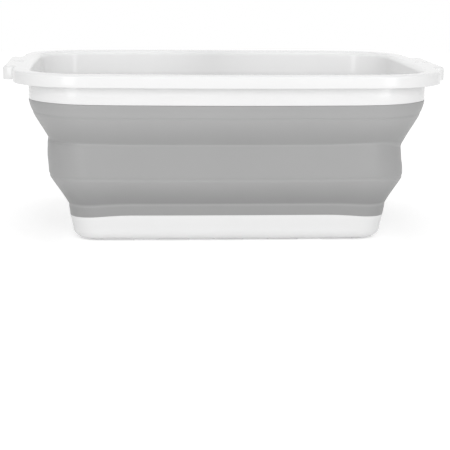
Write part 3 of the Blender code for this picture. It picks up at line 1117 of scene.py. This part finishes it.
@dataclass
class Base:
    """White base tub with a rounded bottom edge and a broken ring of low feet.

    Attributes:
        plan: How the basin is drawn from above.
        heights: Heights of its seams and hinges.
        draft: How far the tub's outside leans in on its way down.
        wall: Thickness of its wall.
        joint_wall: Thickness at the joint with the wall above.
        joint_taper: How much further in the inside lies where it bends towards the joint.
        joint_begin: Share of the tub's height at which it does.
        floor: Thickness of its floor.
        edge_radius: Radius of its bottom edge.
        small_edge: Radius of its top edges.
        flat_margin: How far a flat face's own ring lies from the rounded edge beside it.
        foot_width: Width of a foot.
        foot_length: Length of a foot, and of the gap beside it.
        foot_inset: How far the feet lie inside the tub's side.
        foot_edge: Radius of their edges.
        foot_root: How deep they are rooted in the tub.
        foot_ring_corner: Radius of the corners of the ring that they lie on.
        edge_steps: How many chords the bottom edge is drawn in.
        inner_steps: The same for its inside.
        small_steps: The same for the small edges.
        foot_steps: The same for a corner's foot.
        foot_end_steps: The same for a foot's round ends.
        bar_steps: The same for a straight foot.
    """

    plan: WallPlan
    heights: Heights
    draft: float = 0.0024
    wall: float = 0.0026
    joint_wall: float = 0.0031
    joint_taper: float = 0.0008
    joint_begin: float = 0.8
    floor: float = 0.0028
    edge_radius: float = 0.0095
    small_edge: float = 0.0004
    flat_margin: float = 0.0010
    foot_width: float = 0.0030
    foot_length: float = 0.0233
    foot_inset: float = 0.0115
    foot_edge: float = 0.0004
    foot_root: float = 0.0003
    foot_ring_corner: float = 0.0170
    edge_steps: int = 12
    inner_steps: int = 8
    small_steps: int = 3
    foot_steps: int = 12
    foot_end_steps: int = 8
    bar_steps: int = 4

    def tub_rings(self) -> list[list[Vector]]:
        """Draws the tub, from its floor up inside, over its rim and down outside to its underside.

        Returns:
            Its rings.
        """
        low = self.heights.foot
        top = self.heights.base_top
        small = self.small_edge
        inner = self.edge_radius - self.wall
        inside = self.draft + self.wall
        section = [(inside + inner + self.flat_margin, low + self.floor)]
        section += rounding(inside + inner, low + self.floor + inner, inner, 270, 180, self.inner_steps)
        section.append((self.joint_wall + self.joint_taper, mix(low, top, self.joint_begin)))
        section += rounding(self.joint_wall - small, top - small, small, 0, 90, self.small_steps)
        section += rounding(small, top - small, small, 90, 180, self.small_steps)
        outside = self.draft + self.edge_radius
        edge = rounding(outside, low + self.edge_radius, self.edge_radius, 180, 270, self.edge_steps)
        section += [(mix(0.0, edge[0][0], share), mix(top - small, edge[0][1], share)) for share in SUPPORTS]
        section += edge + [(outside + self.flat_margin, low)]
        return [self.plan.ring(self.plan.base_step, depth, height) for depth, height in section]

    def foot_rings(self, edge: Sequence[EdgePoint]) -> list[list[Vector]]:
        """Draws one foot, from its root inside the tub down to its underside.

        Args:
            edge: Its middle line from above.

        Returns:
            Its rings.
        """
        half_width = self.foot_width / 2
        ends = []
        for point, way in ((edge[-1], 1), (edge[0], -1)):
            start = math.atan2(point.normal.y * way, point.normal.x * way)
            ends.append(edge_arc(point.place, half_width, start, start + math.pi, self.foot_end_steps))
        outer = [EdgePoint(point.place + point.normal * half_width, point.normal) for point in edge]
        inner = [EdgePoint(point.place - point.normal * half_width, -point.normal) for point in edge]
        loop = outer[:-1] + ends[0] + inner[::-1][1:-1] + ends[1][:-1]
        small = self.foot_edge
        section = [(0.0, self.heights.foot + self.foot_root)]
        section += rounding(small, small, small, 180, 270, self.small_steps)
        section.append((2 * small, 0.0))
        sway = Vector((self.plan.level(self.heights.foot).sway, 0, 0))
        return [[point.at(depth, height) + sway for point in loop] for depth, height in section]

    def feet(self) -> list[list[EdgePoint]]:
        """Places the feet: one at each corner, then bars along every side at twice their length.

        Returns:
            The middle line of each foot, counterclockwise.
        """
        outline = replace(self.plan.outline(self.plan.base_step).inset(self.foot_inset + self.foot_width / 2),
                          corner=self.foot_ring_corner)
        centre = outline.corner_centre()
        reach = (self.foot_length - self.foot_width) / 2
        spread = reach / outline.corner
        quarter = [edge_arc(centre, outline.corner, math.pi / 4 - spread, math.pi / 4 + spread,
                            self.foot_steps)]
        for limit, axis, way, out in ((centre.x, Vector((1, 0)), -1, Vector((0, outline.half_width))),
                                      (centre.y, Vector((0, 1)), 1, Vector((outline.half_length, 0)))):
            place = self.foot_length
            while place + self.foot_length < limit:
                middle = out + axis * place
                quarter.append([EdgePoint(middle + axis * way * reach * mix(-1, 1, step / self.bar_steps),
                                          out.normalized()) for step in range(self.bar_steps + 1)])
                place += 2 * self.foot_length
        feet = []
        for x, y in ((1, 1), (1, -1), (-1, 1), (-1, -1)):
            for edge in quarter:
                flipped = [point.flipped(x, y) for point in edge]
                feet.append(flipped if x * y > 0 else flipped[::-1])
        return feet

    def build(self, finish: bpy.types.Material) -> bpy.types.Object:
        """Models and dresses the base.

        Args:
            finish: Its material.

        Returns:
            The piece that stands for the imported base.
        """
        moulding = Moulding()
        tub = moulding.grow(self.tub_rings())
        moulding.fill([tub[0]])
        moulding.fill([tub[-1]])
        for edge in self.feet():
            foot = moulding.grow(self.foot_rings(edge))
            moulding.fill([foot[0]])
            moulding.fill([foot[-1]])
        moulding.face_out()
        piece = moulding.finish("base", finish)
        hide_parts("base_tub")
        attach(piece, Body.BASE.value)
        return piece


@dataclass(frozen=True)
class Lamp:
    """A rectangular soft lamp that the camera doesn't see.

    Attributes:
        name: Its name.
        place: Where its middle is.
        target: What it points at.
        size: Its width and height.
        power: Its power in watts.
        strip: Whether it shows in gloss alone, as a bright strip. The others light all but gloss.
    """

    name: str
    place: tuple[float, float, float]
    target: tuple[float, float, float]
    size: tuple[float, float]
    power: float
    strip: bool = False

    def hang(self) -> None:
        """Adds the lamp to the scene."""
        light = bpy.data.lights.new(self.name, "AREA")
        light.shape = "RECTANGLE"
        light.size, light.size_y = self.size
        light.energy = self.power
        lamp = bpy.data.objects.new(self.name, light)
        bpy.context.scene.collection.objects.link(lamp)
        lamp.location = self.place
        lamp.rotation_euler = (Vector(self.target) - Vector(self.place)).to_track_quat("-Z", "Y").to_euler()
        lamp.visible_camera = False
        lamp.visible_glossy = self.strip
        lamp.visible_diffuse = not self.strip


@dataclass
class Studio:
    """White table, even daylight, soft lamps round the basin and two upright strip lamps in front of it.

    Attributes:
        world_strength: How strongly the world lights the basin.
        floor_size: Length and width of the table top.
        floor_colour: Its colour.
        floor_lift: How much it glows for the camera and in reflections, to come out white.
        lens_pixels: Focal length in pixels of the photograph.
        camera_place: Where the camera stands.
        camera_heading: The way that it looks, seen from above.
        camera_pitch: How far it looks down.
        camera_roll: How far it is turned about its line of sight.
        lamps: Lamps overhead, in front and behind, the two strips, and two fills over the mouth.
    """

    world_strength: float = 0.56
    floor_size: float = 4.0
    floor_colour: str = "FAFAFA"
    floor_lift: float = 0.40
    lens_pixels: float = 1470.6
    camera_place: tuple[float, float, float] = (-0.0900, -1.3110, 0.2530)
    camera_heading: tuple[float, float] = (0.0715, 0.9974)
    camera_pitch: float = math.radians(11.02)
    camera_roll: float = math.radians(0.52)
    lamps: tuple[Lamp, ...] = (
        Lamp("overhead_lamp", (0.0, -0.10, 1.7), (0.0, 0.0, 0.05), (1.8, 1.2), 4.5),
        Lamp("front_lamp", (-0.05, -2.60, 0.70), (0.0, 0.0, 0.08), (2.6, 1.4), 30.2),
        Lamp("rear_lamp", (0.10, 2.60, 0.85), (0.0, 0.0, 0.08), (2.6, 1.4), 7.0),
        Lamp("left_strip", (-0.336, -0.584, 0.25), (-0.13, -0.13, 0.25), (0.174, 0.50), 0.58, strip=True),
        Lamp("right_strip", (0.353, -0.576, 0.25), (0.13, -0.13, 0.25), (0.131, 0.50), 0.44, strip=True),
        Lamp("left_fill", (-0.02, 0.0, 0.19), (-0.17, 0.0, 0.13), (0.12, 0.06), 0.04),
        Lamp("right_fill", (0.02, 0.0, 0.19), (0.17, 0.0, 0.13), (0.12, 0.06), 0.04))

    def world(self) -> None:
        """Lights the basin evenly, and shows plain white to the camera and in reflections."""
        world = bpy.data.worlds.new("white studio")
        world.use_nodes = True
        world.node_tree.nodes.clear()
        bpy.context.scene.world = world
        level = add_node(world, "ShaderNodeMapRange",
                         {"in:To Min": self.world_strength, "in:To Max": 1.0}, Value=self.seen(world))
        light = add_node(world, "ShaderNodeBackground", {"in:Color": linear("FFFFFF")},
                         Strength=level.outputs["Result"])
        add_node(world, "ShaderNodeOutputWorld", Surface=light.outputs["Background"])

    @staticmethod
    def seen(owner: bpy.types.ID) -> bpy.types.NodeSocket:
        """Tells rays that show the background, straight or in a reflection, from rays that light the basin.

        Args:
            owner: Material or world that gets the nodes.

        Returns:
            A socket that is one for the rays that show it.
        """
        path = add_node(owner, "ShaderNodeLightPath")
        shown = add_node(owner, "ShaderNodeMath", {"operation": "MAXIMUM"})
        every = add_node(owner, "ShaderNodeMath", {"operation": "MAXIMUM"})
        links = owner.node_tree.links
        links.new(path.outputs["Is Camera Ray"], shown.inputs[0])
        links.new(path.outputs["Is Glossy Ray"], shown.inputs[1])
        links.new(shown.outputs["Value"], every.inputs[0])
        links.new(path.outputs["Is Transmission Ray"], every.inputs[1])
        return every.outputs["Value"]

    def floor(self) -> None:
        """Lays the white table top, which keeps the basin's shadow."""
        mesh = bmesh.new()
        bmesh.ops.create_grid(mesh, x_segments=1, y_segments=1, size=self.floor_size / 2)
        data = bpy.data.meshes.new("table_top")
        mesh.to_mesh(data)
        mesh.free()
        material = new_material("matt_white_table")
        paint = add_node(material, "ShaderNodeBsdfDiffuse", {"in:Color": linear(self.floor_colour)})
        lift = add_node(material, "ShaderNodeMapRange", {"in:To Min": 0.0, "in:To Max": self.floor_lift},
                        Value=self.seen(material))
        glow = add_node(material, "ShaderNodeEmission", {"in:Color": linear("FFFFFF")},
                        Strength=lift.outputs["Result"])
        both = add_node(material, "ShaderNodeAddShader")
        material.node_tree.links.new(paint.outputs["BSDF"], both.inputs[0])
        material.node_tree.links.new(glow.outputs["Emission"], both.inputs[1])
        add_node(material, "ShaderNodeOutputMaterial", Surface=both.outputs["Shader"])
        data.materials.append(material)
        table = bpy.data.objects.new("table_top", data)
        bpy.context.scene.collection.objects.link(table)

    def camera(self) -> None:
        """Sets up the camera at the photograph's place and angle."""
        data = bpy.data.cameras.new("camera")
        data.sensor_width = SENSOR_MM
        data.lens = self.lens_pixels * SENSOR_MM / PHOTO_PIXELS
        camera = bpy.data.objects.new("camera", data)
        bpy.context.scene.collection.objects.link(camera)
        heading = math.atan2(-self.camera_heading[0], self.camera_heading[1])
        turn = (Matrix.Rotation(heading, 4, "Z") @ Matrix.Rotation(math.pi / 2 - self.camera_pitch, 4, "X")
                @ Matrix.Rotation(self.camera_roll, 4, "Z"))
        camera.matrix_world = Matrix.Translation(self.camera_place) @ turn
        bpy.context.scene.camera = camera

    def build(self) -> None:
        """Sets up everything round the basin."""
        bpy.context.scene.view_settings.view_transform = "Standard"
        self.world()
        self.floor()
        for lamp in self.lamps:
            lamp.hang()
        self.camera()


def main() -> None:
    """Builds the basin's pieces in order and the studio round them."""
    plan = WallPlan()
    heights = Heights()
    plastic = GlossyPolypropylene().make()
    rubber = SatinElastomer().make()
    pieces = [Rim(plan, heights).build(plastic), *Wall(plan, heights).build(rubber),
              Base(plan, heights).build(plastic)]
    for piece in pieces:
        LOG.info("%s: %d faces", piece.name, len(piece.data.polygons))
    Studio().build()


if __name__ == "__main__":
    main()
